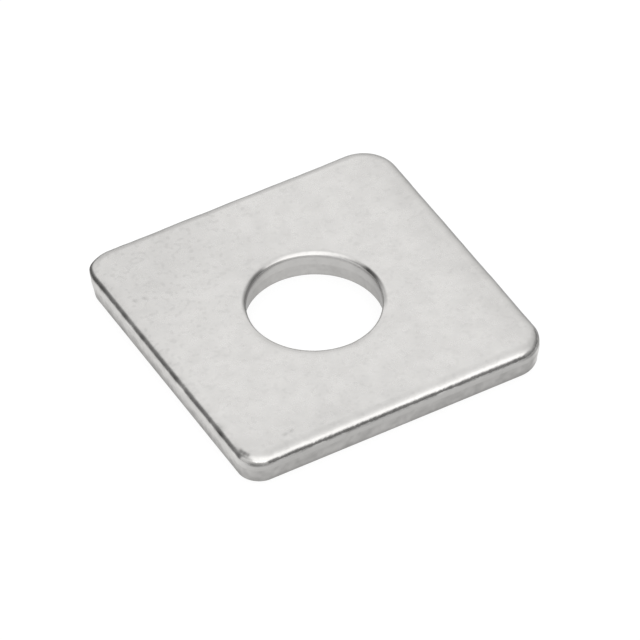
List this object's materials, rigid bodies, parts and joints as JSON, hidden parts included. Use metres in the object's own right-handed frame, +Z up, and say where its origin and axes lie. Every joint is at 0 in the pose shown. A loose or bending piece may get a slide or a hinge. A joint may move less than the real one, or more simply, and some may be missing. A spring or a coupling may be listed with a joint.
{
  "type": "square plate washer",
  "caption": "Flat square steel plate washer with rounded corners, softly rolled top edges and a round central bolt hole.",
  "frame": {"origin": "middle of the bottom face, on the axis of the bolt hole", "axes": "+Z up out of the rolled top face along the bolt hole, X and Y along the two pairs of sides; millimetres in the source"},
  "size_m": [0.0254, 0.0254, 0.0023],
  "materials": {
    "plated_steel": "pale satin plating over tumbled steel, finely mottled, with smoother rolled edges and rougher sheared walls"
  },
  "bodies": {
    "root": {"square_washer": "plated_steel"}
  },
  "joints": []
}
